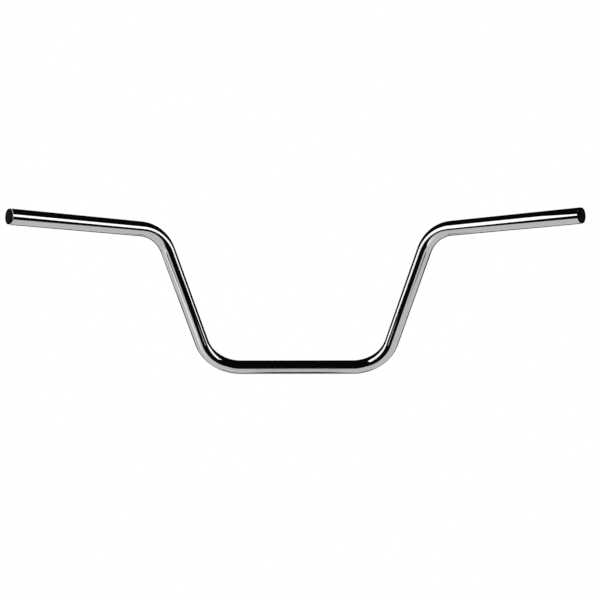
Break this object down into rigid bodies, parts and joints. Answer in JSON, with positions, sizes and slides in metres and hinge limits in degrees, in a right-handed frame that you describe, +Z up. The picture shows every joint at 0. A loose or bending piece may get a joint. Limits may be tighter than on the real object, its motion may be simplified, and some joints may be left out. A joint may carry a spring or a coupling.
{
  "type": "motorcycle handlebar",
  "caption": "One-piece bent round-tube handlebar with a flat clamp section, outward-leaning risers, swept-back grips and push-in end plugs.",
  "frame": {"origin": "middle of the clamp zone, on the tube's axis", "axes": "+X to the rider's right along the clamp section, +Y forwards, +Z up; the rider sits at -Y and the grips sweep towards them"},
  "size_m": [0.7846, 0.3045, 0.2451],
  "materials": {
    "tube_chrome": "mirror-polished chrome plate on steel",
    "plug_black": "moulded black plastic, lightly textured"
  },
  "bodies": {
    "bar": {"handlebar_tube": "tube_chrome"},
    "left_plug": {"left_end_plug": "plug_black"},
    "right_plug": {"right_end_plug": "plug_black"}
  },
  "joints": [
    {"name": "left_plug_pull", "type": "slide", "parent": "bar", "child": "left_plug", "axis": [-0.7549, -0.655, 0.0333], "range_m": [0, 0.026]},
    {"name": "right_plug_pull", "type": "slide", "parent": "bar", "child": "right_plug", "axis": [0.7549, -0.655, 0.0333], "range_m": [0, 0.026]}
  ]
}
